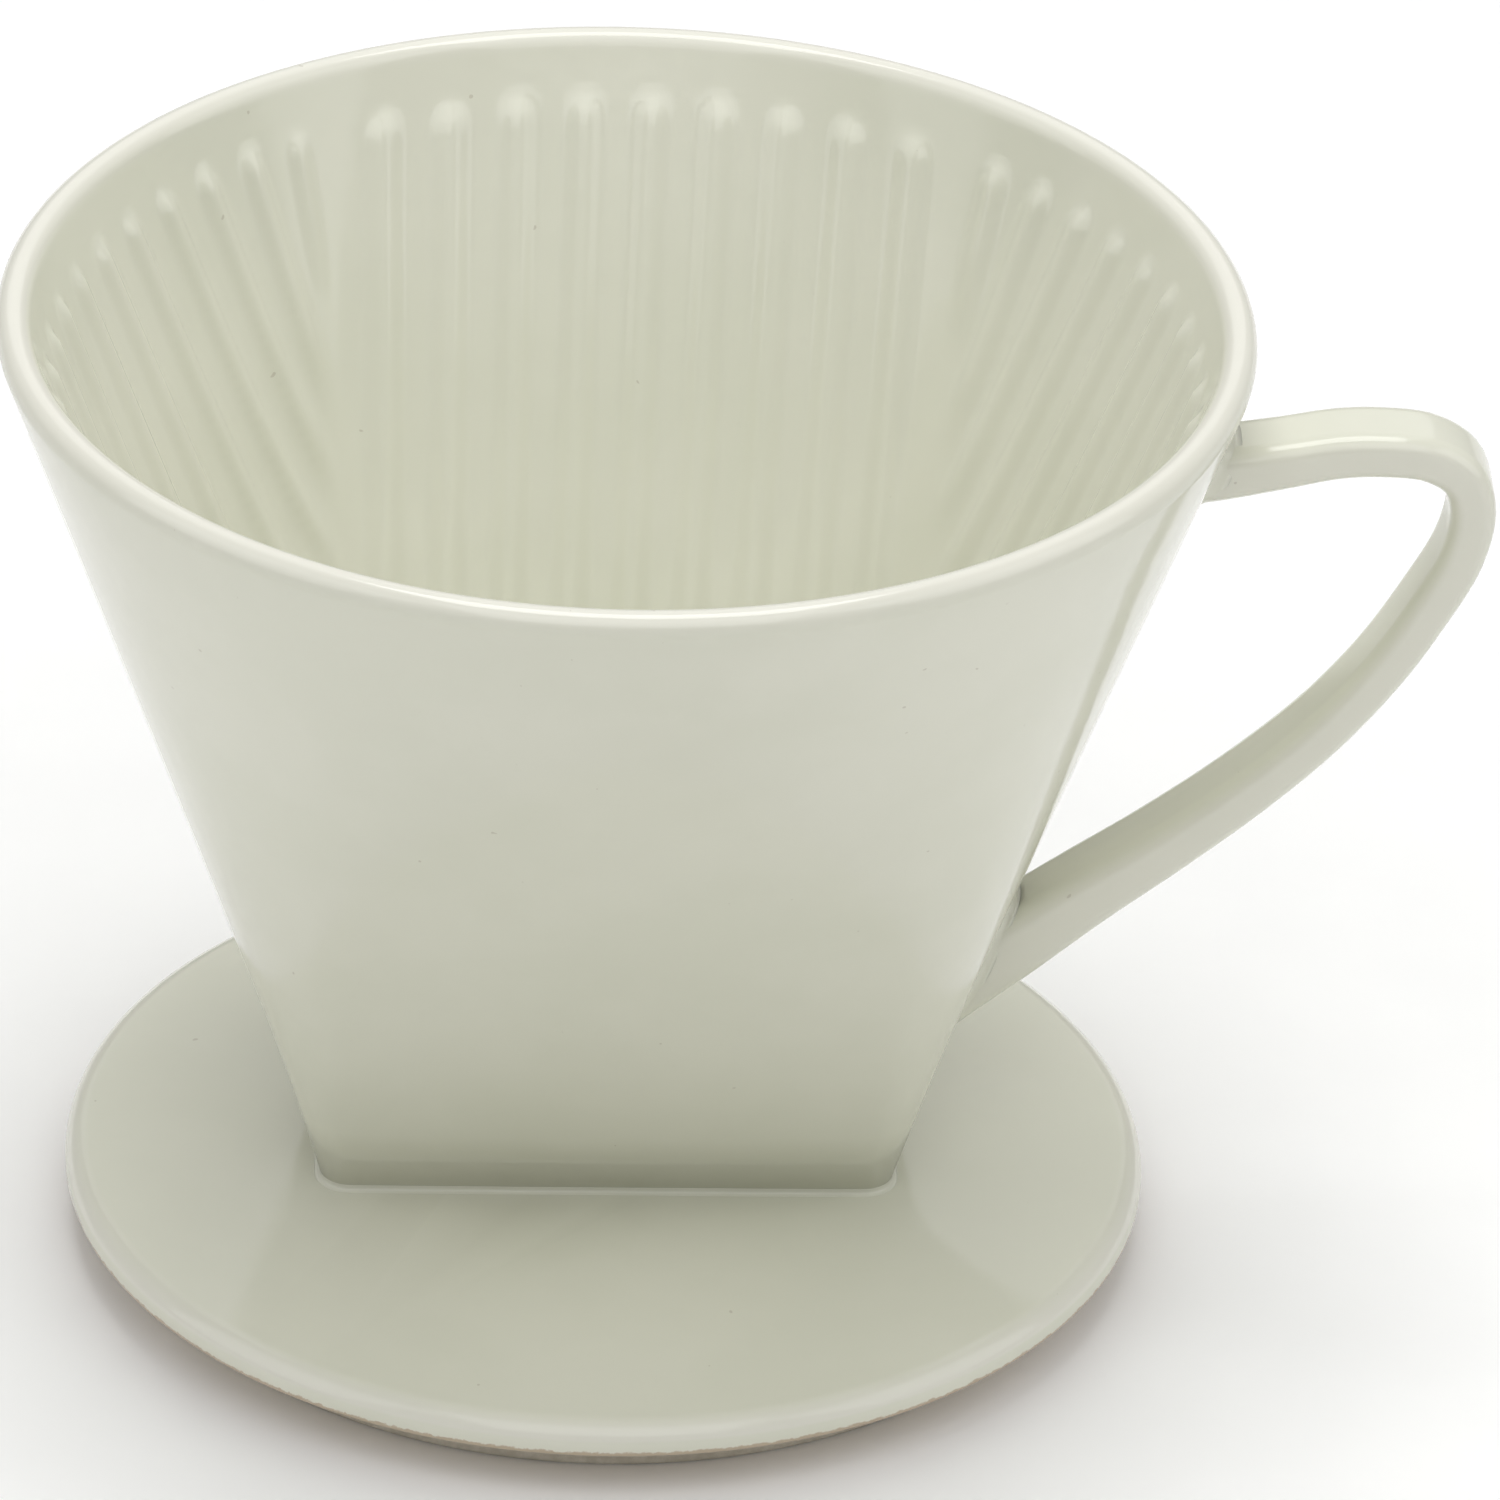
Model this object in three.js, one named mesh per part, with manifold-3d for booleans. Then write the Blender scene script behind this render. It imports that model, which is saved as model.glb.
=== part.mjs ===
// Wedge pour-over dripper in glazed porcelain, size 4. Millimetres, +Z up.
// Origin: the middle of the bounding box, on the surface that the foot ring stands on.
import * as THREE from 'three';
import { mergeVertices } from 'three/addons/utils/BufferGeometryUtils.js';
import Module from 'manifold-3d';

const wasm = await Module();
wasm.setup();

// ---- driving dimensions -------------------------------------------------
const rimRadius = 62.5;          // outside of the round rim
const totalHeight = 105;         // foot underside to the top of the lip
const lipThickness = 3.5;        // the lip is a half round of this width
const footHeight = 5.2;          // foot ring below the flange
const footRadius = 49.25;        // outside of the foot ring
const footWidth = 5.5;
const seatRecess = 0.4;          // the underside inside the foot ring lies this much higher
const flangeRadius = 55.5;
const flangeThickness = 3.4;
const flangeTopRound = 2.4;      // rounding of the flange's upper edge
const flangeUnderRound = 0.5;    // and of its lower edge
const baseHalfLength = 29.2;     // outside of the bowl where it stands on the flange
const baseHalfWidth = 11.6;
const baseCorner = 3;
const baseWall = 5;              // wall at the base, measured level
const floorCorner = 1.5;         // corner radius inside the bowl at the base
const creaseTurn = 58;           // degrees from +X where a face of the wedge ends at the rim
const sideTurn = 32.5;           // degrees from +X where the rounded corner ends at the rim

const faceRibs = 9;              // ribs on the front face, and as many on the back
const faceRibPitchTop = 6.9;
const faceRibPitchBase = 5.7;
const sideRibsPerQuarter = 8;    // each side has these twice, and one in the middle
const sideRibStep = 6.45;        // degrees round the rim between side ribs
const sideRibLean = 0.36;        // sideways run per mm of drop, of the outermost side rib
const sideRibEndTurn = 54;       // side ribs run out where the wall has turned this far
const ribRadius = 1.6;
const ribSink = 0.85;            // how far in the wall a rib's middle line lies, measured level
const ribTopGap = 4.6;           // plain band between the lip and the ribs
const ribBottomGap = 3;

const dripHoles = 3;
const dripHoleRadius = 1.9;
const dripHolePitch = 14;

const strapWidth = 8.5;          // handle strap, across
const strapThickness = 5.0;      // handle strap, through
const strapRound = 1.6;          // rounding of the strap's long edges
const seamGap = 0.3;             // clearance that keeps the solids apart
const seamThickness = 1.5;       // slip between a handle end and the bowl
const seamLip = 0.7;             // slip squeezed out round a handle end
const seamLeg = 2.2;             // fillet of slip round the bowl's base
const handleSplit = 60;          // height that parts the handle's upper seam from its lower one
const cutterRun = 1;             // how far a cutting solid runs past what it cuts

// ---- worked out ---------------------------------------------------------
const flangeTop = footHeight + flangeThickness;
const lipRadius = lipThickness / 2;
const wallTop = totalHeight - lipRadius;
const radians = Math.PI / 180;
const lerp = THREE.MathUtils.lerp;

// ---- solids -------------------------------------------------------------
function solidOf(geometry) {
  const bare = geometry.clone();
  bare.deleteAttribute('normal');
  bare.deleteAttribute('uv');
  const merged = mergeVertices(bare, 1e-4);
  return new wasm.Manifold(new wasm.Mesh({
    numProp: 3,
    vertProperties: new Float32Array(merged.attributes.position.array),
    triVerts: new Uint32Array(merged.index.array),
  }));
}

function geometryOf(solid) {
  const mesh = solid.getMesh();
  const geometry = new THREE.BufferGeometry();
  geometry.setAttribute('position', new THREE.BufferAttribute(mesh.vertProperties, 3));
  geometry.setIndex(new THREE.BufferAttribute(mesh.triVerts, 1));
  geometry.computeVertexNormals();
  return geometry;
}

function diskSolid(profile, segments = 64) {
  const lathe = new THREE.LatheGeometry(profile.map(([r, z]) => new THREE.Vector2(r, z)), segments);
  return solidOf(lathe.rotateX(Math.PI / 2));
}

// a body between two level rings of as many points, filled from the middle of each
function loftSolid(lowRing, highRing) {
  const count = lowRing.length;
  const middle = (ring) => new THREE.Vector3(0, 0, ring[0].z);
  const points = [...lowRing, ...highRing, middle(lowRing), middle(highRing)];
  const faces = [];
  for (let i = 0; i < count; i++) {
    const next = (i + 1) % count;
    faces.push(i, next, count + next, i, count + next, count + i);
    faces.push(2 * count, next, i);
    faces.push(2 * count + 1, count + i, count + next);
  }
  const geometry = new THREE.BufferGeometry().setFromPoints(points);
  geometry.setIndex(faces);
  return solidOf(geometry);
}

// ---- the wedge: a rounded slot at the base that opens to a circle at the rim ----
// The wall is straight from base to rim. A place round it is given by its turn at the rim,
// in degrees from +X: side, then rounded corner, then face.
const outerWedge = {
  halfLength: baseHalfLength, halfWidth: baseHalfWidth, corner: baseCorner, rim: rimRadius,
};
const innerWedge = {
  halfLength: baseHalfLength - baseWall,
  halfWidth: baseHalfWidth - baseWall,
  corner: floorCorner,
  rim: rimRadius - lipThickness,
};

function grown(wedge, by) {
  return Object.fromEntries(Object.entries(wedge).map(([key, size]) => [key, size + by]));
}

function upAt(z) {
  return (z - flangeTop) / (wallTop - flangeTop);
}

// outline of the slot in its first quarter
function slotPoint({ halfLength, halfWidth, corner }, turn) {
  if (turn >= creaseTurn) {
    const share = Math.cos(turn * radians) / Math.cos(creaseTurn * radians);
    return [(halfLength - corner) * share, halfWidth];
  }
  if (turn > sideTurn) {
    const angle = (turn - sideTurn) / (creaseTurn - sideTurn) * Math.PI / 2;
    return [halfLength - corner + corner * Math.cos(angle),
      halfWidth - corner + corner * Math.sin(angle)];
  }
  return [halfLength, (halfWidth - corner) * turn / sideTurn];
}

function wallPoint(wedge, turn, z) {
  const [slotX, slotY] = slotPoint(wedge, turn);
  return new THREE.Vector3(
    lerp(slotX, wedge.rim * Math.cos(turn * radians), upAt(z)),
    lerp(slotY, wedge.rim * Math.sin(turn * radians), upAt(z)),
    z,
  );
}

function wedgeRing(wedge, z) {
  const quarter = [];
  const stretches = [[0, sideTurn, 8], [sideTurn, creaseTurn, 4], [creaseTurn, 90, 5]];
  for (const [from, to, steps] of stretches) {
    for (let i = 0; i < steps; i++) quarter.push(lerp(from, to, i / steps));
  }
  const mirrored = quarter.slice(1).reverse();
  const at = (turn, signX, signY) =>
    wallPoint(wedge, turn, z).multiply(new THREE.Vector3(signX, signY, 1));
  return [
    ...quarter.map((turn) => at(turn, 1, 1)),
    ...[90, ...mirrored].map((turn) => at(turn, -1, 1)),
    ...quarter.map((turn) => at(turn, -1, -1)),
    ...[90, ...mirrored].map((turn) => at(turn, 1, -1)),
  ];
}

function wedgeSolid(wedge, bottom, top) {
  return loftSolid(wedgeRing(wedge, bottom), wedgeRing(wedge, top));
}

// the turn at which the wall's level outline reaches a given y
function turnAtY(wedge, y, z) {
  let low = 0;
  let high = 90;
  for (let i = 0; i < 24; i++) {
    const middle = (low + high) / 2;
    if (wallPoint(wedge, middle, z).y < y) low = middle;
    else high = middle;
  }
  return low;
}

// the turn at which a face of the wedge reaches a given x
function turnAtX(wedge, x, z) {
  const slotReach = (wedge.halfLength - wedge.corner) / Math.cos(creaseTurn * radians);
  return Math.acos(x / lerp(slotReach, wedge.rim, upAt(z))) / radians;
}

// ---- ribs ---------------------------------------------------------------
// Each rib is a round-ended bar sunk in the wall, in straight stretches along it.
const ribTop = wallTop - ribTopGap;
const ribBottom = flangeTop + ribBottomGap;
const inWall = grown(innerWedge, ribSink);

function ribSolid(placeAt, bottom, stretches) {
  const bars = [];
  const upright = new THREE.Vector3(0, 1, 0);    // a capsule is made along Y
  for (let i = 0; i < stretches; i++) {
    const high = placeAt(lerp(ribTop, bottom, i / stretches));
    const low = placeAt(lerp(ribTop, bottom, (i + 1) / stretches));
    const run = high.clone().sub(low);
    const bar = new THREE.CapsuleGeometry(ribRadius, run.length(), 1, 6, 1);
    bar.applyQuaternion(new THREE.Quaternion().setFromUnitVectors(upright, run.normalize()));
    bar.translate(...high.add(low).multiplyScalar(0.5).toArray());
    bars.push(solidOf(bar));
  }
  return wasm.Manifold.union(bars);
}

function faceRib(index, sideY) {
  const placeAt = (z) => {
    const x = Math.abs(index) * lerp(faceRibPitchBase, faceRibPitchTop, upAt(z));
    const place = wallPoint(inWall, turnAtX(inWall, x, z), z);
    return place.multiply(new THREE.Vector3(Math.sign(index), sideY, 1));
  };
  return ribSolid(placeAt, ribBottom, 1);
}

function sideRib(index, sideX) {
  const rank = Math.abs(index);
  const lean = sideRibLean * (rank / sideRibsPerQuarter) ** 3;
  const topY = wallPoint(inWall, rank * sideRibStep, ribTop).y;
  const turnAt = (z) => turnAtY(inWall, topY - lean * (ribTop - z), z);
  const placeAt = (z) =>
    wallPoint(inWall, turnAt(z), z).multiply(new THREE.Vector3(sideX, Math.sign(index), 1));
  let bottom = ribTop;
  while (bottom > ribBottom && turnAt(bottom) < sideRibEndTurn) bottom -= 0.5;
  return ribSolid(placeAt, bottom, 2);
}

function ribSolids() {
  const ribs = [];
  const half = (faceRibs - 1) / 2;
  for (const side of [-1, 1]) {
    for (let i = -half; i <= half; i++) ribs.push(faceRib(i, side));
    for (let i = -sideRibsPerQuarter; i <= sideRibsPerQuarter; i++) ribs.push(sideRib(i, side));
  }
  return ribs;
}

// ---- bowl ---------------------------------------------------------------
function makeBowl() {
  const outside = wedgeSolid(outerWedge, flangeTop, wallTop);
  const inside = wedgeSolid(innerWedge, flangeTop - cutterRun, wallTop + cutterRun);
  const lip = new THREE.TorusGeometry(rimRadius - lipRadius, lipRadius, 12, 64);
  lip.translate(0, 0, wallTop);
  return outside.subtract(inside).add(wasm.Manifold.union(ribSolids())).add(solidOf(lip));
}

// ---- base flange, with the drip holes, and the foot ring -----------------
const seatRadius = footRadius - footWidth;       // inside of the foot ring

function makeFlange() {
  const seatEdge = seatRadius - seamGap;
  const seatZ = footHeight + seatRecess;
  const profile = [[0, seatZ], [seatEdge, seatZ], [seatEdge, footHeight]];
  const edges = [
    { round: flangeUnderRound, from: -90, steps: 3, z: footHeight + flangeUnderRound },
    { round: flangeTopRound, from: 0, steps: 6, z: flangeTop - flangeTopRound },
  ];
  for (const { round, from, steps, z } of edges) {
    for (let step = 0; step <= steps; step++) {
      const angle = (from + 90 * step / steps) * radians;
      profile.push([flangeRadius - round + round * Math.cos(angle), z + round * Math.sin(angle)]);
    }
  }
  profile.push([0, flangeTop]);
  let flange = diskSolid(profile);
  for (let hole = 0; hole < dripHoles; hole++) {
    const drill = new THREE.CylinderGeometry(dripHoleRadius, dripHoleRadius, 3 * flangeThickness, 24);
    drill.rotateX(Math.PI / 2);
    drill.translate((hole - (dripHoles - 1) / 2) * dripHolePitch, 0, footHeight);
    flange = flange.subtract(solidOf(drill));
  }
  return flange;
}

function makeFootRing() {
  const chamfer = 0.6;
  return diskSolid([
    [seatRadius, footHeight],
    [seatRadius, chamfer],
    [seatRadius + chamfer, 0],
    [footRadius - chamfer, 0],
    [footRadius, chamfer],
    [footRadius, footHeight],
    [seatRadius, footHeight],
  ]);
}

// ---- handle -------------------------------------------------------------
// Middle line of the strap in the plane y = 0, from inside the upper wall to inside the lower.
const handleLine = new THREE.CatmullRomCurve3([
  [54, 88.0], [60, 88.5], [66, 89.5], [71.5, 90.5], [76, 90.7], [80.8, 90.1],
  [84, 88], [85.2, 84.2], [84.3, 78.8], [81.2, 72.4], [77, 65.4], [71.5, 58.4],
  [64.5, 51.5], [56.5, 44.8], [48.5, 38.7], [41, 32.8], [35.5, 28.7],
].map(([x, z]) => new THREE.Vector3(x, 0, z)), false, 'centripetal');

function strapSolid(grow) {
  const inX = strapWidth / 2 - strapRound;
  const inY = strapThickness / 2 - strapRound;
  const round = strapRound + grow;
  const section = new THREE.Shape();
  section.absarc(inX, inY, round, 0, Math.PI / 2);
  section.absarc(-inX, inY, round, Math.PI / 2, Math.PI);
  section.absarc(-inX, -inY, round, Math.PI, 1.5 * Math.PI);
  section.absarc(inX, -inY, round, 1.5 * Math.PI, 2 * Math.PI);
  const options = { steps: 36, curveSegments: 1, extrudePath: handleLine };
  return solidOf(new THREE.ExtrudeGeometry(section, options));
}

const outsideGrownBy = (gap) => wedgeSolid(grown(outerWedge, gap), flangeTop, totalHeight);

function makeHandle() {
  return strapSolid(0).subtract(outsideGrownBy(2 * seamGap + seamThickness));
}

function makeHandleSeam(fromZ) {
  const slab = outsideGrownBy(seamGap + seamThickness).subtract(outsideGrownBy(seamGap));
  // a block that holds one end of the handle
  const block = new THREE.BoxGeometry(3 * handleSplit, handleSplit, handleSplit);
  block.translate(0, 0, fromZ + handleSplit / 2);
  return strapSolid(seamLip).intersect(slab).intersect(solidOf(block));
}

// ---- fillet of slip round the bowl's base --------------------------------
function makeBowlSeam() {
  const foot = wedgeRing(grown(outerWedge, seamGap + seamLeg), flangeTop);
  const crest = wedgeRing(grown(outerWedge, 2 * seamGap), flangeTop + seamLeg);
  const wallLow = flangeTop - cutterRun;
  const wall = wedgeSolid(grown(outerWedge, seamGap), wallLow, flangeTop + 2 * seamLeg);
  return loftSolid(foot, crest).subtract(wall);
}

// ---- assembly -----------------------------------------------------------
const glazeWhite = { color: 0xdedfce, roughness: 0.12, metalness: 0 };
const slipWhite = { color: 0xd6d7c4, roughness: 0.15, metalness: 0 };
const bareClay = { color: 0xa49b82, roughness: 0.8, metalness: 0 };

const dripper = new THREE.Group();

function addPiece(name, solid, finish) {
  const piece = new THREE.Mesh(geometryOf(solid), new THREE.MeshStandardMaterial(finish));
  piece.name = name;
  dripper.add(piece);
}

addPiece('bowl', makeBowl(), glazeWhite);
addPiece('base_flange', makeFlange(), glazeWhite);
addPiece('foot_ring', makeFootRing(), bareClay);
addPiece('handle', makeHandle(), glazeWhite);
addPiece('bowl_seam', makeBowlSeam(), slipWhite);
addPiece('handle_upper_seam', makeHandleSeam(handleSplit), slipWhite);
addPiece('handle_lower_seam', makeHandleSeam(0), slipWhite);

const reach = new THREE.Box3().setFromObject(dripper);
dripper.position.x = -(reach.min.x + reach.max.x) / 2;

export default dripper;
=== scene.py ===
import math

import bpy
import numpy as np
from mathutils import Matrix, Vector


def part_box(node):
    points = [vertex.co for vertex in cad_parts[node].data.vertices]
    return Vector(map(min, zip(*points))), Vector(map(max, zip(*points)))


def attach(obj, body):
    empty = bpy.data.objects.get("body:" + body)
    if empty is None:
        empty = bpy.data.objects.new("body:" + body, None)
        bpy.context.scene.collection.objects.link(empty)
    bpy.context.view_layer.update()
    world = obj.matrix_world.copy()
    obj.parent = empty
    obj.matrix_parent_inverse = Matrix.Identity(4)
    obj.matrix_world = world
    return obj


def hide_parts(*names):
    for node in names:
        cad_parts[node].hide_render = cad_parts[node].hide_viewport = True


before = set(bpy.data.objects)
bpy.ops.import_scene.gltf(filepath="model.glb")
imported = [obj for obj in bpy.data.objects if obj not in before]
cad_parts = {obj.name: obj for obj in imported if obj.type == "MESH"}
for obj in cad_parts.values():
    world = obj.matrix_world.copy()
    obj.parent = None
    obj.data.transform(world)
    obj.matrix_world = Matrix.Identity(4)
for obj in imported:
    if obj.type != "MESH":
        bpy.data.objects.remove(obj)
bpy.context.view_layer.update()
print("frame loaded,", len(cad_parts), "nodes")

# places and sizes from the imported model, in metres
bowlLow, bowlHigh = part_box("bowl")
flangeLow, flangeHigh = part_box("base_flange")
footLow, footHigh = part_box("foot_ring")
axisX = (bowlLow[0] + bowlHigh[0]) / 2      # the bowl's upright middle line
rimRadius = (bowlHigh[0] - bowlLow[0]) / 2
flangeTop = flangeHigh[2]
mm = 0.001


def pick(obj):
    if bpy.context.object and bpy.context.object.mode != "OBJECT":
        bpy.ops.object.mode_set(mode="OBJECT")
    bpy.ops.object.select_all(action="DESELECT")
    obj.select_set(True)
    bpy.context.view_layer.objects.active = obj


def pickNone():
    if bpy.context.object and bpy.context.object.mode != "OBJECT":
        bpy.ops.object.mode_set(mode="OBJECT")
    bpy.ops.object.select_all(action="DESELECT")


def editMesh(obj, selectMode="VERT"):
    pick(obj)
    bpy.ops.object.mode_set(mode="EDIT")
    bpy.ops.mesh.select_mode(type=selectMode)


def applyModifiers(obj):
    pick(obj)
    for modifierName in [modifier.name for modifier in obj.modifiers]:
        bpy.ops.object.modifier_apply(modifier=modifierName)


def placeInMesh(obj):
    pick(obj)
    bpy.ops.object.transform_apply(location=True, rotation=True, scale=True)


def weldAndTurnOut(obj, distance=1e-6):
    editMesh(obj)
    bpy.ops.mesh.select_all(action="SELECT")
    bpy.ops.mesh.remove_doubles(threshold=distance)
    bpy.ops.mesh.normals_make_consistent(inside=False)
    bpy.ops.object.mode_set(mode="OBJECT")


def drapedGrid(name, across, along, placeAll):      # a flat grid laid on a form, edges welded
    pickNone()
    bpy.ops.mesh.primitive_grid_add(x_subdivisions=across, y_subdivisions=along, size=1)
    obj = bpy.context.object
    obj.name = name
    flat = np.empty(len(obj.data.vertices) * 3)
    obj.data.vertices.foreach_get("co", flat)
    flat = flat.reshape(-1, 3)
    placed = np.stack(placeAll(flat[:, 0] + 0.5, flat[:, 1] + 0.5), axis=1)
    obj.data.vertices.foreach_set("co", placed.ravel())
    obj.data.update()
    weldAndTurnOut(obj)
    return obj


def addAttribute(obj, name, valueOf):      # a soft mask on the points, read by the materials
    spots = np.empty(len(obj.data.vertices) * 3)
    obj.data.vertices.foreach_get("co", spots)
    spots = spots.reshape(-1, 3)
    layer = obj.data.attributes.new(name, "FLOAT", "POINT")
    layer.data.foreach_set("value", valueOf(spots[:, 0], spots[:, 1], spots[:, 2]).astype(np.float32))


def finishPiece(obj, node, finish, smoothAngle=None):
    obj.data.materials.clear()
    obj.data.materials.append(finish)
    pick(obj)
    if smoothAngle is None:
        bpy.ops.object.shade_smooth()
    else:
        bpy.ops.object.shade_smooth_by_angle(angle=math.radians(smoothAngle))
    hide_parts(node)
    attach(obj, "root")
    print("made", obj.name, len(obj.data.polygons), "faces")


glaze = dict(
    colour=(0.726, 0.726, 0.620, 1),
    pooledColour=(0.665, 0.674, 0.556, 1),      # thicker, greener glaze, mixed in at random by the slow drift
    thinGlazeAndHighlightColour=(0.76, 0.75, 0.667, 1),      # lighter over edges: partly thinner glaze, partly a painted highlight
    bareColour=(0.50, 0.41, 0.30, 1),
    speckColour=(0.30, 0.24, 0.17, 1),
    driftScale=38,      # slow drift of the glaze's tone
    driftShare=0.35,
    speckScale=900,      # rare iron specks
    speckFrom=0.815,
    speckFull=0.84,
    speckShare=0.3,
    raggedScale=900,      # the wiped edge of the glaze
    raggedHeight=0.9 * mm,
    bareBlend=0.1 * mm,
    bareHeight=0.15 * mm,      # above the flange's underside
    roughness=0.10,
    roughScale=90,
    roughSpread=0.05,
    ripple=0.05,
    rippleScale=120,
    ior=1.5,
)

clay = dict(
    colour=(0.56, 0.52, 0.43, 1),
    paleColour=(0.68, 0.64, 0.55, 1),
    grainScale=700,
    roughness=0.82,
    roughSpread=0.15,
    grainBump=0.35,
    grainDepth=0.15 * mm,
)


def newMaterial(name):
    material = bpy.data.materials.new(name)
    material.use_nodes = True
    tree = material.node_tree
    tree.nodes.clear()
    output = tree.nodes.new("ShaderNodeOutputMaterial")
    shader = tree.nodes.new("ShaderNodeBsdfPrincipled")
    tree.links.new(shader.outputs["BSDF"], output.inputs["Surface"])
    return material, tree, shader


def addNoise(tree, scale, detail=2.0, roughness=0.5):
    place = tree.nodes.new("ShaderNodeTexCoord")
    noise = tree.nodes.new("ShaderNodeTexNoise")
    noise.inputs["Scale"].default_value = scale
    noise.inputs["Detail"].default_value = detail
    noise.inputs["Roughness"].default_value = roughness
    tree.links.new(place.outputs["Object"], noise.inputs["Vector"])
    return noise.outputs["Fac"]


def addRamp(tree, value, low, high):      # 0 below low, 1 above high
    ramp = tree.nodes.new("ShaderNodeMapRange")
    ramp.interpolation_type = "SMOOTHSTEP"
    ramp.inputs["From Min"].default_value = low
    ramp.inputs["From Max"].default_value = high
    tree.links.new(value, ramp.inputs["Value"])
    return ramp.outputs["Result"]


def addMix(tree, factor, first, second):
    mix = tree.nodes.new("ShaderNodeMix")
    mix.data_type = "RGBA"
    for socket, value in ((mix.inputs["Factor"], factor), (mix.inputs[6], first), (mix.inputs[7], second)):
        if isinstance(value, bpy.types.NodeSocket):
            tree.links.new(value, socket)
        else:
            socket.default_value = value
    return mix.outputs[2]


def addMath(tree, operation, first, second):
    node = tree.nodes.new("ShaderNodeMath")
    node.operation = operation
    for socket, value in zip(node.inputs, (first, second)):
        if isinstance(value, bpy.types.NodeSocket):
            tree.links.new(value, socket)
        else:
            socket.default_value = value
    return node.outputs[0]


def glazedPorcelain(name, bareBelow=None):
    material, tree, shader = newMaterial(name)
    thinGlazeAndHighlight = tree.nodes.new("ShaderNodeAttribute")
    thinGlazeAndHighlight.attribute_name = "thinGlazeAndHighlight"
    cloud = addNoise(tree, glaze["driftScale"], 3, 0.55)
    drift = addMath(tree, "MULTIPLY", addRamp(tree, cloud, 0.35, 0.65), glaze["driftShare"])
    tone = addMix(tree, drift, glaze["colour"], glaze["pooledColour"])
    # lighter tone on the lip top, flange upper edge and handle edges: thinner glaze plus a painted highlight
    tone = addMix(tree, thinGlazeAndHighlight.outputs["Fac"], tone, glaze["thinGlazeAndHighlightColour"])
    flecks = addNoise(tree, glaze["speckScale"], 1, 0.4)
    speck = addRamp(tree, flecks, glaze["speckFrom"], glaze["speckFull"])
    tone = addMix(tree, addMath(tree, "MULTIPLY", speck, glaze["speckShare"]), tone, glaze["speckColour"])
    if bareBelow is not None:      # the glaze is wiped off below this height
        place = tree.nodes.new("ShaderNodeTexCoord")
        parts = tree.nodes.new("ShaderNodeSeparateXYZ")
        tree.links.new(place.outputs["Object"], parts.inputs[0])
        edge = addNoise(tree, glaze["raggedScale"], 3, 0.7)
        ragged = addMath(tree, "MULTIPLY", edge, glaze["raggedHeight"])
        height = addMath(tree, "SUBTRACT", parts.outputs["Z"], ragged)
        blend = glaze["bareBlend"]
        bare = addMath(tree, "SUBTRACT", 1, addRamp(tree, height, bareBelow - blend, bareBelow + blend))
        tone = addMix(tree, bare, tone, glaze["bareColour"])
    tree.links.new(tone, shader.inputs["Base Color"])
    rough = addMath(tree, "MULTIPLY_ADD", addNoise(tree, glaze["roughScale"], 2), glaze["roughSpread"])
    rough.node.inputs[2].default_value = glaze["roughness"] - glaze["roughSpread"] / 2
    tree.links.new(rough, shader.inputs["Roughness"])
    shader.inputs["IOR"].default_value = glaze["ior"]
    bump = tree.nodes.new("ShaderNodeBump")
    bump.inputs["Strength"].default_value = glaze["ripple"]
    bump.inputs["Distance"].default_value = 1 * mm
    tree.links.new(addNoise(tree, glaze["rippleScale"], 2, 0.5), bump.inputs["Height"])
    tree.links.new(bump.outputs["Normal"], shader.inputs["Normal"])
    return material


def bareClay(name):
    material, tree, shader = newMaterial(name)
    grain = addNoise(tree, clay["grainScale"], 4, 0.65)
    tone = addMix(tree, addRamp(tree, grain, 0.35, 0.7), clay["colour"], clay["paleColour"])
    tree.links.new(tone, shader.inputs["Base Color"])
    rough = addMath(tree, "MULTIPLY_ADD", grain, clay["roughSpread"])
    rough.node.inputs[2].default_value = clay["roughness"] - clay["roughSpread"] / 2
    tree.links.new(rough, shader.inputs["Roughness"])
    bump = tree.nodes.new("ShaderNodeBump")
    bump.inputs["Strength"].default_value = clay["grainBump"]
    bump.inputs["Distance"].default_value = clay["grainDepth"]
    tree.links.new(grain, bump.inputs["Height"])
    tree.links.new(bump.outputs["Normal"], shader.inputs["Normal"])
    return material


ivoryGlaze = glazedPorcelain("ivoryGlaze")
seamGlaze = glazedPorcelain("seamGlaze")
flangeGlaze = glazedPorcelain("flangeGlaze", bareBelow=flangeLow[2] + glaze["bareHeight"])
footClay = bareClay("footClay")
print("materials made")


# the wedge: a rounded slot at the base that opens to a circle at the rim
wedge = dict(
    halfLength=29.2 * mm,      # the slot's outside, on the flange
    halfWidth=11.6 * mm,
    corner=3 * mm,
    floorHalfLength=24.2 * mm,      # and its inside
    floorHalfWidth=6.6 * mm,
    floorCorner=1.5 * mm,
    lip=3.5 * mm,
    creaseTurn=58,      # degrees from +X, where a face of the wedge ends at the rim
    sideTurn=32.5,      # and where its rounded corner ends
    ease=2.5,      # degrees over which the creases are eased
)

wallTop = bowlHigh[2] - wedge["lip"] / 2


def slotCorners(turn, halfLength, halfWidth, corner):
    quarterTurn = np.abs(turn)
    quarterTurn = np.where(quarterTurn > 90, 180 - quarterTurn, quarterTurn)
    crease, side = wedge["creaseTurn"], wedge["sideTurn"]
    share = np.cos(np.radians(quarterTurn)) / math.cos(math.radians(crease))
    bend = np.clip((quarterTurn - side) / (crease - side), 0, 1) * math.pi / 2
    cornerX = halfLength - corner + corner * np.cos(bend)
    cornerY = halfWidth - corner + corner * np.sin(bend)
    x = np.where(quarterTurn >= crease, (halfLength - corner) * share, cornerX)
    y = np.where(quarterTurn >= side, cornerY, (halfWidth - corner) * quarterTurn / side)
    return x * np.where(np.abs(turn) > 90, -1, 1), y * np.sign(turn)


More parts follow.
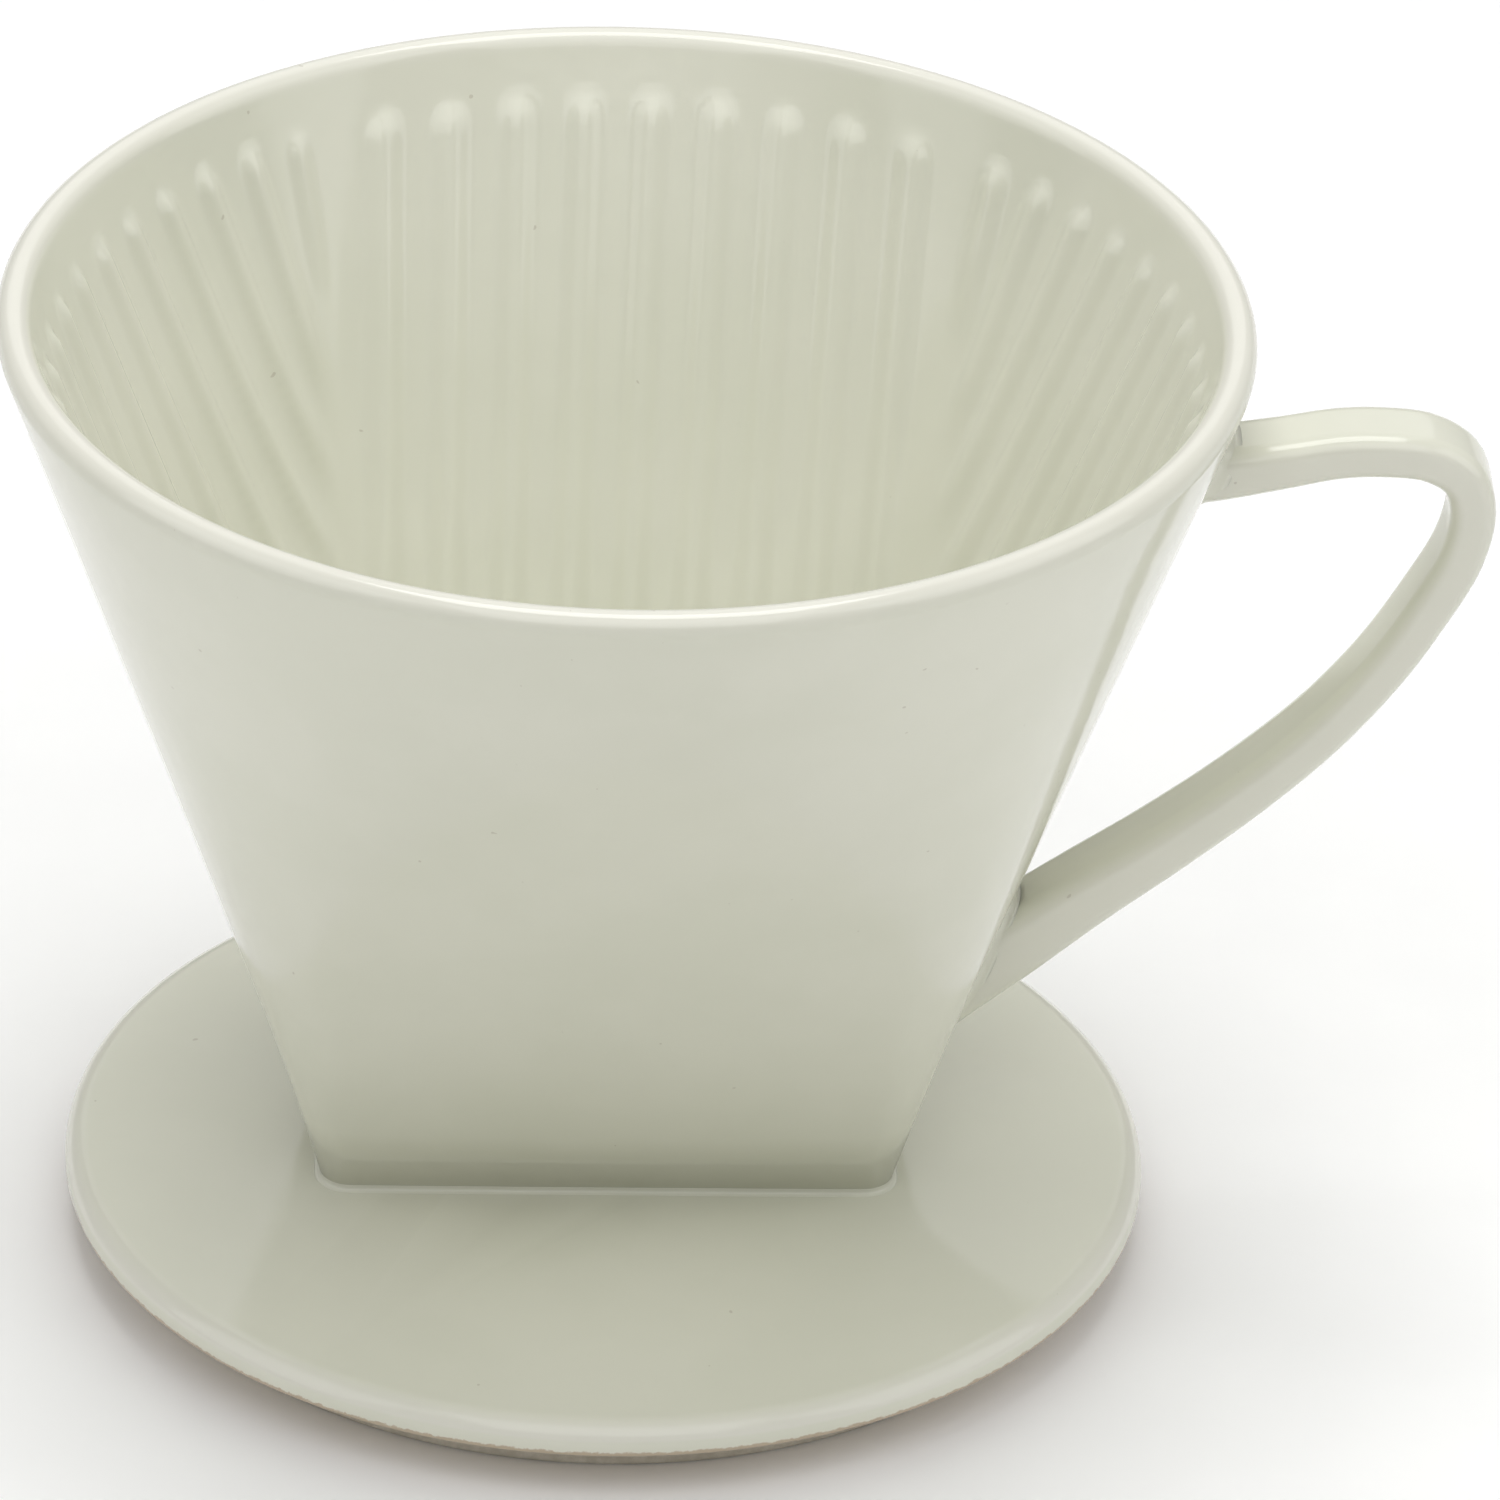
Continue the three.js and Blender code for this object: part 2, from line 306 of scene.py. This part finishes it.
def slotOutline(turn, halfLength, halfWidth, corner):      # the same with its creases eased
    easedX, easedY = 0, 0
    offsets = np.linspace(-wedge["ease"], wedge["ease"], 7)
    for offset in offsets:
        x, y = slotCorners((turn + offset + 180) % 360 - 180, halfLength, halfWidth, corner)
        easedX, easedY = easedX + x / len(offsets), easedY + y / len(offsets)
    return easedX, easedY


def wallLean(turn):      # the wall's slope out of upright
    slotX, slotY = slotOutline(turn, wedge["halfLength"], wedge["halfWidth"], wedge["corner"])
    angle = np.radians(turn)
    reach = np.hypot(rimRadius * np.cos(angle) - slotX, rimRadius * np.sin(angle) - slotY)
    return np.arctan(reach / (wallTop - flangeTop))


def wallBetween(turn, z, slot, rim):
    up = (z - flangeTop) / (wallTop - flangeTop)
    slotX, slotY = slotOutline(turn, *slot)
    angle = np.radians(turn)
    return (1 - up) * slotX + up * rim * np.cos(angle), (1 - up) * slotY + up * rim * np.sin(angle)


def outerWall(turn, z, grow=0.0):      # turn in degrees, -180 to 180, x from the middle line
    slot = [wedge[key] + grow for key in ("halfLength", "halfWidth", "corner")]
    lipRadius = wedge["lip"] / 2
    rim = rimRadius - lipRadius + lipRadius / np.cos(wallLean(turn)) + grow
    return wallBetween(turn, z, slot, rim)


def innerWall(turn, z):
    slot = [wedge[key] for key in ("floorHalfLength", "floorHalfWidth", "floorCorner")]
    lipRadius = wedge["lip"] / 2
    return wallBetween(turn, z, slot, rimRadius - lipRadius - lipRadius / np.cos(wallLean(turn)))


ribs = dict(
    faceCount=9,
    pitchTop=6.9 * mm,
    pitchBase=5.7 * mm,
    sidePerQuarter=8,
    sideStep=6.45,      # degrees round the rim
    sideLean=0.36,      # sideways run per drop of the outermost side rib
    endTurn=54,      # side ribs run out where the wall has turned this far
    faceFrom=53,      # face ribs fade in from here, and side ribs are gone by sideTo
    sideTo=59,
    blend=4,      # degrees over which they do
    halfWidth=2.4 * mm,
    flank=2.3 * mm,
    sideNarrower=0.85,      # side ribs are slimmer
    rise=0.72 * mm,
    topGap=3.2 * mm,      # plain band under the lip
    bottomGap=3 * mm,
    fade=11 * mm,      # side ribs sink into the wall over this much height
    turned=4,      # degrees that the rib pattern sits clockwise of the bowl, seen from above
)

bowlMesh = dict(
    columns=960, outsideRows=10, lipRows=12, insideRows=72, floorRows=2,
    crowding=1.35,      # inside rows lie closer together near the lip
    smallTurn=0.2,      # degrees to either side, to find which way the wall faces
)
bowlRows = sum(bowlMesh[key] for key in ("outsideRows", "lipRows", "insideRows", "floorRows"))


def wallStep(turn, z):      # a short way along the inner wall, level
    small = bowlMesh["smallTurn"]
    after, before = innerWall(turn + small, z), innerWall(turn - small, z)
    return after[0] - before[0], after[1] - before[1]


def ribHump(across, past):      # across the rib, and past its end
    distance = np.hypot(across, np.maximum(past, 0))
    rise = np.clip((ribs["halfWidth"] - distance) / ribs["flank"], 0, 1)
    return rise * rise * (3 - 2 * rise)


def sideRibEnd(topY, lean, topZ, bottomZ):      # height at which a side rib reaches the crease
    heights = np.linspace(topZ, bottomZ, 160)
    turns = np.linspace(0, 90, 181)
    for z in heights:
        _, wallY = innerWall(turns, z)
        if np.interp(topY - lean * (topZ - z), wallY, turns) > ribs["endTurn"]:
            return z
    return bottomZ


def ribField(turn, z, x, y):      # 0 on the plain wall to 1 on a rib's crest
    topZ = wallTop - ribs["topGap"]
    bottomZ = flangeTop + ribs["bottomGap"]
    up = (z - flangeTop) / (wallTop - flangeTop)
    leanOut = np.cos(wallLean(turn))
    field = np.zeros_like(x)
    turned = math.radians(ribs["turned"])
    x, y = x * math.cos(turned) - y * math.sin(turned), x * math.sin(turned) + y * math.cos(turned)
    quarterTurn = np.abs(turn)
    quarterTurn = np.where(quarterTurn > 90, 180 - quarterTurn, quarterTurn)
    faceShare = np.clip((quarterTurn - ribs["faceFrom"]) / ribs["blend"], 0, 1)
    sideShare = np.clip((ribs["sideTo"] - quarterTurn) / ribs["blend"], 0, 1)
    half = ribs["faceCount"] // 2
    endZ = topZ - ribs["halfWidth"]
    pastEnds = np.maximum(z - endZ, bottomZ - z) / leanOut
    for index in range(-half, half + 1):
        middle = index * (ribs["pitchBase"] + up * (ribs["pitchTop"] - ribs["pitchBase"]))
        field = np.maximum(field, faceShare * ribHump(x - middle, pastEnds))
    stepX, stepY = wallStep(turn, z)
    facing = np.abs(stepY) / np.hypot(stepX, stepY)
    for rank in range(ribs["sidePerQuarter"] + 1):
        lean = ribs["sideLean"] * (rank / ribs["sidePerQuarter"]) ** 3
        _, topY = innerWall(np.array([rank * ribs["sideStep"]]), topZ)
        lowZ = sideRibEnd(topY[0], lean, topZ, bottomZ)
        middle = topY[0] - lean * (topZ - z)
        across = (np.abs(y) - middle) / np.maximum(facing, 0.3) / ribs["sideNarrower"]
        sunk = np.clip((z - lowZ) / ribs["fade"], 0, 1)
        hump = ribHump(across, (z - endZ) / leanOut) * sunk * sunk * (3 - 2 * sunk)
        field = np.maximum(field, sideShare * hump)
    return field


def placeBowl(around, along):
    row = np.rint(along * bowlRows)
    turn = -180 + 360 * around
    lean = wallLean(turn)
    lipRadius = wedge["lip"] / 2
    outside, lip, inside = bowlMesh["outsideRows"], bowlMesh["lipRows"], bowlMesh["insideRows"]

    outTopZ = wallTop - lipRadius * np.sin(lean)
    share = np.clip(row / outside, 0, 1)
    z = flangeTop + share * (outTopZ - flangeTop)
    x, y = outerWall(turn, z)

    overLip = (row > outside) & (row < outside + lip)
    angle = -lean + np.clip((row - outside) / lip, 0, 1) * math.pi
    radius = rimRadius - lipRadius + lipRadius * np.cos(angle)
    x = np.where(overLip, radius * np.cos(np.radians(turn)), x)
    y = np.where(overLip, radius * np.sin(np.radians(turn)), y)
    z = np.where(overLip, wallTop + lipRadius * np.sin(angle), z)

    onInside = row >= outside + lip
    inTopZ = wallTop + lipRadius * np.sin(lean)
    share = np.clip((row - outside - lip) / inside, 0, 1) ** bowlMesh["crowding"]
    innerZ = inTopZ + share * (flangeTop - inTopZ)
    innerX, innerY = innerWall(turn, innerZ)
    rise = ribs["rise"] * ribField(turn, innerZ, innerX, innerY)
    stepX, stepY = wallStep(turn, innerZ)
    level = np.hypot(stepX, stepY)
    innerX -= rise * np.cos(lean) * stepY / level
    innerY += rise * np.cos(lean) * stepX / level
    innerZ += rise * np.sin(lean)
    x, y, z = (np.where(onInside, new, old) for new, old in ((innerX, x), (innerY, y), (innerZ, z)))

    floorShare = np.clip((row - outside - lip - inside) / bowlMesh["floorRows"], 0, 1)
    baseX, baseY = outerWall(turn, flangeTop)
    x = x + floorShare * (baseX - x)
    y = y + floorShare * (baseY - y)
    return x + axisX, y, z


def makeBowl():
    bowl = drapedGrid("bowlFine", bowlMesh["columns"], bowlRows, placeBowl)

    def thinGlazeAndHighlight(x, y, z):      # thinner glaze and a painted highlight over the lip's upper half
        return np.clip((z - wallTop) / (wedge["lip"] / 2), 0, 1)

    addAttribute(bowl, "thinGlazeAndHighlight", thinGlazeAndHighlight)
    finishPiece(bowl, "bowl", ivoryGlaze, smoothAngle=75)


makeBowl()


flange = dict(
    topRound=2.4 * mm,
    underRound=0.5 * mm,
    topSegments=12,
    underSegments=4,
    holes=3,
    holePitch=14 * mm,
    holeRadius=1.9 * mm,
    holeSoftening=0.5 * mm,
    supportRing=0.5 * mm,      # flat ring inside the rounded edge that keeps the top's shading level
    recess=0.4 * mm,      # underside inside the foot ring
)


def pickFaces(obj, wanted):      # edit mode, with only the wanted faces selected
    editMesh(obj, "FACE")
    bpy.ops.mesh.select_all(action="DESELECT")
    bpy.ops.object.mode_set(mode="OBJECT")
    for face in obj.data.polygons:
        face.select = wanted(face.center, face.normal)
    bpy.ops.object.mode_set(mode="EDIT")


def pickEdges(obj, wanted):      # wanted(first corner, second corner)
    editMesh(obj, "EDGE")
    bpy.ops.mesh.select_all(action="DESELECT")
    bpy.ops.object.mode_set(mode="OBJECT")
    points = obj.data.vertices
    for edge in obj.data.edges:
        edge.select = wanted(points[edge.vertices[0]].co, points[edge.vertices[1]].co)
    bpy.ops.object.mode_set(mode="EDIT")


def fromAxis(spot):
    return math.hypot(spot.x - axisX, spot.y)


def makeFlange():
    radius = (flangeHigh[0] - flangeLow[0]) / 2
    thickness = flangeHigh[2] - flangeLow[2]
    pickNone()
    bpy.ops.mesh.primitive_cylinder_add(
        vertices=320, radius=radius, depth=thickness, end_fill_type="NGON",
        location=(axisX, 0, flangeLow[2] + thickness / 2))
    disc = bpy.context.object
    disc.name = "baseFlangeFine"
    placeInMesh(disc)
    close = 0.01 * mm
    for z, edge in ((flangeHigh[2], "top"), (flangeLow[2], "under")):
        pickEdges(disc, lambda a, b: max(abs(a.z - z), abs(b.z - z)) < close)
        bpy.ops.mesh.bevel(offset=flange[edge + "Round"], segments=flange[edge + "Segments"], profile=0.5)
    pickFaces(disc, lambda centre, normal: abs(normal.z) > 0.999 and fromAxis(centre) < close)
    bpy.ops.mesh.inset(thickness=flange["supportRing"])
    seatRadius = (footHigh[0] - footLow[0]) / 2 - foot["width"] - flange["supportRing"]
    flatRadius = radius - flange["underRound"] - flange["supportRing"]
    pickFaces(disc, lambda centre, normal: normal.z < -0.999 and fromAxis(centre) < close)
    bpy.ops.mesh.inset(thickness=flatRadius - seatRadius)
    bpy.ops.mesh.inset(thickness=flange["recess"])
    bpy.ops.transform.translate(value=(0, 0, flange["recess"]))
    bpy.ops.mesh.inset(thickness=flange["supportRing"])
    bpy.ops.object.mode_set(mode="OBJECT")

    drills = []
    for index in range(flange["holes"]):
        holeX = axisX + (index - (flange["holes"] - 1) / 2) * flange["holePitch"]
        pickNone()
        bpy.ops.mesh.primitive_cylinder_add(
            vertices=48, radius=flange["holeRadius"], depth=4 * thickness, location=(holeX, 0, flangeTop))
        drills.append(bpy.context.object)
        placeInMesh(drills[-1])
        cut = disc.modifiers.new("hole", "BOOLEAN")
        cut.operation = "DIFFERENCE"
        cut.object = drills[-1]
    applyModifiers(disc)
    for drill in drills:
        bpy.data.objects.remove(drill)

    def onHoleRim(a, b):
        if abs(a.z - b.z) > close:
            return False
        for index in range(flange["holes"]):
            holeX = axisX + (index - (flange["holes"] - 1) / 2) * flange["holePitch"]
            offRim = [abs(math.hypot(spot.x - holeX, spot.y) - flange["holeRadius"]) for spot in (a, b)]
            if max(offRim) < 0.05 * mm:
                return True
        return False

    pickEdges(disc, onHoleRim)
    bpy.ops.mesh.bevel(offset=flange["holeSoftening"], segments=4, profile=0.5)
    bpy.ops.object.mode_set(mode="OBJECT")

    def thinGlazeAndHighlight(x, y, z):      # thinner glaze and a painted highlight over the upper edge
        share = (np.hypot(x - axisX, y) - radius) / flange["topRound"] + 1
        return np.clip(share, 0, 1) * (z > flangeLow[2] + thickness / 2)

    addAttribute(disc, "thinGlazeAndHighlight", thinGlazeAndHighlight)
    finishPiece(disc, "base_flange", flangeGlaze, smoothAngle=32)


foot = dict(width=5.5 * mm, softening=0.7 * mm)


def makeFootRing():
    radius = (footHigh[0] - footLow[0]) / 2
    height = footHigh[2] - footLow[2]
    pickNone()
    bpy.ops.mesh.primitive_cylinder_add(
        vertices=256, radius=radius, depth=height, end_fill_type="NGON",
        location=(axisX, 0, footLow[2] + height / 2))
    ring = bpy.context.object
    ring.name = "footRingFine"
    placeInMesh(ring)
    pickFaces(ring, lambda centre, normal: abs(normal.z) > 0.9)
    bpy.ops.mesh.inset(thickness=foot["width"])
    bpy.ops.mesh.bridge_edge_loops()
    bpy.ops.object.mode_set(mode="OBJECT")
    low = footLow[2] + 0.01 * mm
    pickEdges(ring, lambda a, b: a.z < low and b.z < low and abs(fromAxis(a) - fromAxis(b)) < 0.1 * mm)
    bpy.ops.mesh.bevel(offset=foot["softening"], segments=4, profile=0.5)
    bpy.ops.object.mode_set(mode="OBJECT")
    weldAndTurnOut(ring)
    finishPiece(ring, "foot_ring", footClay, smoothAngle=40)


makeFlange()
makeFootRing()


# the strap's middle line, from inside the upper wall to inside the lower, as
# (x from the bowl's middle line, z) in mm, and its thickness in mm by share of the line
handle = dict(
    line=[(50, 87.1), (54, 87.6), (60, 88.3), (66, 89.4), (71.5, 90.5), (76, 90.7),
          (80.8, 90.1), (84, 88), (85.2, 84.2), (84.3, 78.8), (81.2, 72.4), (77, 65.4),
          (71.5, 58.4), (64.5, 51.5), (56.5, 44.8), (48.5, 38.7), (41, 32.8), (35.5, 28.7),
          (31, 25.1)],
    width=8.5 * mm,
    thickness=[(0, 6.6), (0.06, 6.0), (0.12, 5.0), (0.31, 4.6), (0.42, 4.7), (0.54, 4.6),
               (0.66, 5.1), (0.75, 5.6), (0.83, 6.4), (0.93, 7.9), (1, 8.6)],
    round=2.0 * mm,
    roundSegments=8,
    stations=140,
    tuckIn=0.1 * mm,      # keeps the curl inside the frame's box
    buried=1.5 * mm,      # how deep the ends reach into the wall
    thinGlazeAndHighlightFrom=3.4 * mm,      # thinner glaze and a painted highlight over the long edges from here out
    thinGlazeAndHighlightShare=0.7,
    evening=8,      # stations to either side over which the thickness is evened out
)


def smoothLine(points, count):      # centripetal Catmull-Rom through the points
    spots = np.array(points, float) * mm
    spots = np.vstack([2 * spots[0] - spots[1], spots, 2 * spots[-1] - spots[-2]])
    run = []
    for p0, p1, p2, p3 in zip(spots, spots[1:], spots[2:], spots[3:]):
        t1 = math.dist(p0, p1) ** 0.5
        t2 = t1 + math.dist(p1, p2) ** 0.5
        t3 = t2 + math.dist(p2, p3) ** 0.5
        for t in np.linspace(t1, t2, 24, endpoint=False):
            a1 = p0 + (p1 - p0) * t / t1
            a2 = p1 + (p2 - p1) * (t - t1) / (t2 - t1)
            a3 = p2 + (p3 - p2) * (t - t2) / (t3 - t2)
            b1, b2 = a1 + (a2 - a1) * t / t2, a2 + (a3 - a2) * (t - t1) / (t3 - t1)
            run.append(b1 + (b2 - b1) * (t - t1) / (t2 - t1))
    run = np.array(run + [spots[-2]])
    reach = np.concatenate([[0], np.cumsum(np.linalg.norm(np.diff(run, axis=0), axis=1))])
    even = np.linspace(0, reach[-1], count)
    return np.stack([np.interp(even, reach, run[:, 0]), np.interp(even, reach, run[:, 1])], axis=1)


def makeHandle():
    line = smoothLine(handle["line"], handle["stations"]) - [handle["tuckIn"], 0]
    along = np.gradient(line, axis=0)
    pitch = np.unwrap(np.arctan2(along[:, 1], along[:, 0]))      # the strap's heading in the upright plane
    places, sizes = zip(*handle["thickness"])      # share of the line, and the strap's thickness there
    thickness = np.interp(np.linspace(0, 1, len(line)), places, sizes) * mm
    evening = np.ones(2 * handle["evening"] + 1) / (2 * handle["evening"] + 1)
    thickness = np.convolve(np.pad(thickness, handle["evening"], mode="edge"), evening, mode="valid")
    pickNone()
    bpy.ops.mesh.primitive_plane_add(size=1, location=(0, 0, 0))
    strap = bpy.context.object
    strap.name = "handleFine"
    editMesh(strap)
    bpy.ops.mesh.select_all(action="SELECT")
    bpy.ops.transform.resize(value=(thickness[0], handle["width"], 1))
    bpy.ops.mesh.bevel(offset=handle["round"], segments=handle["roundSegments"], affect="VERTICES")
    bpy.ops.object.mode_set(mode="OBJECT")
    strap.rotation_euler = (0, math.pi / 2 - pitch[0], 0)
    strap.location = (line[0][0] + axisX, 0, line[0][1])
    placeInMesh(strap)
    editMesh(strap, "FACE")
    bpy.ops.mesh.select_all(action="SELECT")
    for step in range(1, len(line)):
        shift = line[step] - line[step - 1]
        centre = (line[step][0] + axisX, 0, line[step][1])
        bpy.ops.mesh.extrude_region_move(TRANSFORM_OT_translate=dict(value=(shift[0], 0, shift[1])))
        bpy.ops.transform.rotate(value=pitch[step] - pitch[step - 1], orient_axis="Y", center_override=centre)
        grow = thickness[step] / thickness[step - 1]
        bpy.ops.transform.resize(value=(grow, 1, grow), center_override=centre)
    lean = wallLean(np.array([0.0]))[0]
    bpy.ops.mesh.select_all(action="SELECT")
    bpy.ops.mesh.bisect(      # both ends are cut off inside the wall
        plane_co=(axisX + wedge["halfLength"] - handle["buried"], 0, flangeTop),
        plane_no=(math.cos(lean), 0, -math.sin(lean)), use_fill=True, clear_inner=True)
    bpy.ops.object.mode_set(mode="OBJECT")
    weldAndTurnOut(strap)

    # thinner glaze and a painted highlight over the strap's long edges
    def thinGlazeAndHighlight(x, y, z):
        return np.clip((np.abs(y) - handle["thinGlazeAndHighlightFrom"]) / mm, 0, 1) * handle["thinGlazeAndHighlightShare"]

    addAttribute(strap, "thinGlazeAndHighlight", thinGlazeAndHighlight)
    finishPiece(strap, "handle", ivoryGlaze, smoothAngle=50)
    return line, pitch, thickness


strapLine, strapPitch, strapThickness = makeHandle()


seams = dict(
    baseLeg=0.7 * mm,      # fillet of slip round the bowl's base
    handleLeg=3.4 * mm,      # and round the handle's ends
    rows=9,      # rows over a fillet's hollow
    buriedRows=3,
    buried=0.5 * mm,      # how deep its hidden back lies in the pieces it joins
    boxy=3.2,      # squareness of the fillet round a handle end
    searchReach=25 * mm,      # along the strap, to find the wall
    searchSteps=24,
)


def hollow(wallSpot, corner, otherSpot, share):      # the curve of a fillet between two surfaces
    return (1 - share) ** 2 * wallSpot + 2 * share * (1 - share) * corner + share ** 2 * otherSpot


def filletRing(name, columns, railsAt):      # railsAt gives wall, corner, other and buried back
    rows = seams["rows"] + seams["buriedRows"]

    def place(around, along):
        wallSpot, corner, otherSpot, back = railsAt(around)
        row = np.rint(along * rows)
        share = np.clip(row / seams["rows"], 0, 1)[:, None]
        spots = hollow(wallSpot, corner, otherSpot, share)
        behind = (row - seams["rows"])[:, None]
        spots = np.where(behind == 1, otherSpot + (back - corner), spots)
        spots = np.where(behind == 2, wallSpot + (back - corner), spots)
        spots = np.where(behind == 3, wallSpot, spots)
        return spots[:, 0], spots[:, 1], spots[:, 2]

    return drapedGrid(name, columns, rows, place)


def baseRails(around):
    turn = -180 + 360 * around
    leg = seams["baseLeg"]
    x, y = outerWall(turn, flangeTop)
    beforeX, beforeY = outerWall((turn - 1 + 180) % 360 - 180, flangeTop)
    afterX, afterY = outerWall((turn + 1 + 180) % 360 - 180, flangeTop)
    level = np.hypot(afterX - beforeX, afterY - beforeY)
    outX, outY = (afterY - beforeY) / level, -(afterX - beforeX) / level
    corner = np.stack([x + axisX, y, np.full_like(x, flangeTop)], axis=1)
    out = np.stack([outX, outY, np.zeros_like(x)], axis=1)
    upX, upY = outerWall(turn, flangeTop + leg)
    upWall = np.stack([upX + axisX, upY, np.full_like(x, flangeTop + leg)], axis=1)
    down = np.array([0, 0, -1.0])
    return corner + leg * out, corner, upWall, corner + seams["buried"] * (down - out)


sideTurns = np.linspace(-70, 70, 281)
sideLow, sideHigh = (np.stack(outerWall(sideTurns, z)) for z in (flangeTop, wallTop))


def wallXAt(y, z):      # outside of the side wall, by level position
    x = np.empty_like(y)
    for index, (spotY, spotZ) in enumerate(zip(y, z)):
        wallX, wallY = sideLow + (sideHigh - sideLow) * (spotZ - flangeTop) / (wallTop - flangeTop)
        x[index] = np.interp(spotY, wallY, wallX)
    return x


def handleRails(station):
    centre = np.array([strapLine[station][0], 0, strapLine[station][1]])
    towards = 1 if station > len(strapLine) / 2 else -1      # towards the wall along the line
    heading = towards * np.array([math.cos(strapPitch[station]), 0, math.sin(strapPitch[station])])
    across = np.array([heading[2], 0, -heading[0]])
    leg = seams["handleLeg"]

    def rails(around):
        angle = 2 * math.pi * around
        power = seams["boxy"]
        boxy = (np.abs(np.cos(angle)) ** power + np.abs(np.sin(angle)) ** power) ** (-1 / power)
        inX = strapThickness[station] / 2 * boxy * np.cos(angle)
        inY = handle["width"] / 2 * boxy * np.sin(angle)
        offset = inX[:, None] * across + inY[:, None] * np.array([0, 1.0, 0])
        start = centre + offset
        far = np.full(len(around), seams["searchReach"])
        near = -far
        for _ in range(seams["searchSteps"]):      # where the strap's side runs into the wall
            middle = (near + far) / 2
            spot = start + middle[:, None] * heading
            inside = spot[:, 0] < wallXAt(spot[:, 1], spot[:, 2])
            near, far = np.where(inside, near, middle), np.where(inside, middle, far)
        corner = start + near[:, None] * heading
        outwards = offset / np.linalg.norm(offset, axis=1)[:, None]
        lean = wallLean(np.array([0.0]))[0]
        wallNormal = np.array([math.cos(lean), 0, -math.sin(lean)])
        alongWall = outwards - (outwards @ wallNormal)[:, None] * wallNormal
        alongWall /= np.linalg.norm(alongWall, axis=1)[:, None]
        onWall = corner + leg * alongWall
        onWall[:, 0] = wallXAt(onWall[:, 1], onWall[:, 2])
        onStrap = corner - leg * heading
        shift = np.array([axisX, 0, 0])
        back = corner - seams["buried"] * (wallNormal + outwards)
        return onWall + shift, corner + shift, onStrap + shift, back + shift

    return rails


def wallStation(fromEnd):      # the strap's station nearest to the wall at one end
    z = strapLine[:, 1]
    gap = np.abs(strapLine[:, 0] - wallXAt(np.zeros_like(z), z))
    half = len(z) // 2
    return int(np.argmin(gap[:half])) if fromEnd == "upper" else half + int(np.argmin(gap[half:]))


def makeSeams():
    bowlSeam = filletRing("bowlSeamFine", 480, baseRails)
    addAttribute(bowlSeam, "thinGlazeAndHighlight", lambda x, y, z: np.zeros_like(x))
    finishPiece(bowlSeam, "bowl_seam", seamGlaze)
    for end in ("upper", "lower"):
        seam = filletRing("handle" + end.capitalize() + "SeamFine", 96, handleRails(wallStation(end)))
        addAttribute(seam, "thinGlazeAndHighlight", lambda x, y, z: np.zeros_like(x))
        finishPiece(seam, "handle_" + end + "_seam", seamGlaze)


makeSeams()


studio = dict(
    floorSize=6,
    floorColour=(0.985, 0.985, 0.98, 1),
    airStrength=0.3,
    softBox=dict(side=0, height=80, size=0.5, distance=1.0, power=3.7),      # overhead, a little behind
    bigLights=dict(      # degrees round from the front, degrees up, watts
        frontLight=(0, 56, 12.6),
        leftLight=(-75, 35, 8.3),
        rightLight=(75, 35, 10),
        backLight=(180, 45, 7),
    ),
    bigSize=1.8,
    bigDistance=2.2,
)


def makeFloor():
    pickNone()
    bpy.ops.mesh.primitive_plane_add(size=studio["floorSize"], location=(0, 0, 0))
    floor = bpy.context.object
    floor.name = "paleFloor"
    material, tree, shader = newMaterial("palePaper")
    fleck = addRamp(tree, addNoise(tree, 60, 4), 0.3, 0.7)
    pale = studio["floorColour"]
    dim = (pale[0] * 0.985, pale[1] * 0.985, pale[2] * 0.985, 1)
    tree.links.new(addMix(tree, fleck, pale, dim), shader.inputs["Base Color"])
    shader.inputs["Roughness"].default_value = 0.7
    floor.data.materials.append(material)


def addSoftLight(name, side, height, size, distance, power):
    side, height = math.radians(side), math.radians(height)
    level = distance * math.cos(height)
    pickNone()
    bpy.ops.object.light_add(
        type="AREA",
        location=(level * math.sin(side), -level * math.cos(side), distance * math.sin(height)),
        rotation=(math.pi / 2 - height, 0, side))
    light = bpy.context.object
    light.name = name
    light.data.shape = "SQUARE"
    light.data.size = size
    light.data.energy = power


def makeLights():
    world = bpy.data.worlds.new("studioAir")
    world.use_nodes = True
    air = world.node_tree.nodes["Background"]
    air.inputs["Color"].default_value = (1, 1, 1, 1)
    air.inputs["Strength"].default_value = studio["airStrength"]
    bpy.context.scene.world = world
    box = studio["softBox"]
    addSoftLight("softBox", 180 - box["side"], box["height"], box["size"], box["distance"], box["power"])
    for name, (side, height, power) in studio["bigLights"].items():
        addSoftLight(name, side, height, studio["bigSize"], studio["bigDistance"], power)


view = dict(
    place=(-37.72 * mm, -1046.68 * mm, 668.88 * mm),      # from the bowl's middle line
    azimuth=2.81,      # degrees that it looks towards +X
    down=30.39,
    roll=1.99,
    lens=288,
)


def makeCamera():
    camera = bpy.data.cameras.new("viewCamera")
    camera.lens = view["lens"]
    camera.sensor_width = 36
    camera.clip_start = 0.05
    camera.clip_end = 20
    holder = bpy.data.objects.new("viewCamera", camera)
    bpy.context.scene.collection.objects.link(holder)
    holder.location = (view["place"][0] + axisX, view["place"][1], view["place"][2])
    aim = Matrix.Rotation(math.radians(-view["azimuth"]), 4, "Z")
    tilt = Matrix.Rotation(math.radians(90 - view["down"]), 4, "X")
    roll = Matrix.Rotation(math.radians(view["roll"]), 4, "Z")
    holder.rotation_euler = (aim @ tilt @ roll).to_euler()
    bpy.context.scene.camera = holder


makeFloor()
makeLights()
makeCamera()
bpy.context.scene.view_settings.view_transform = "Standard"
print("floor, lights and camera made")
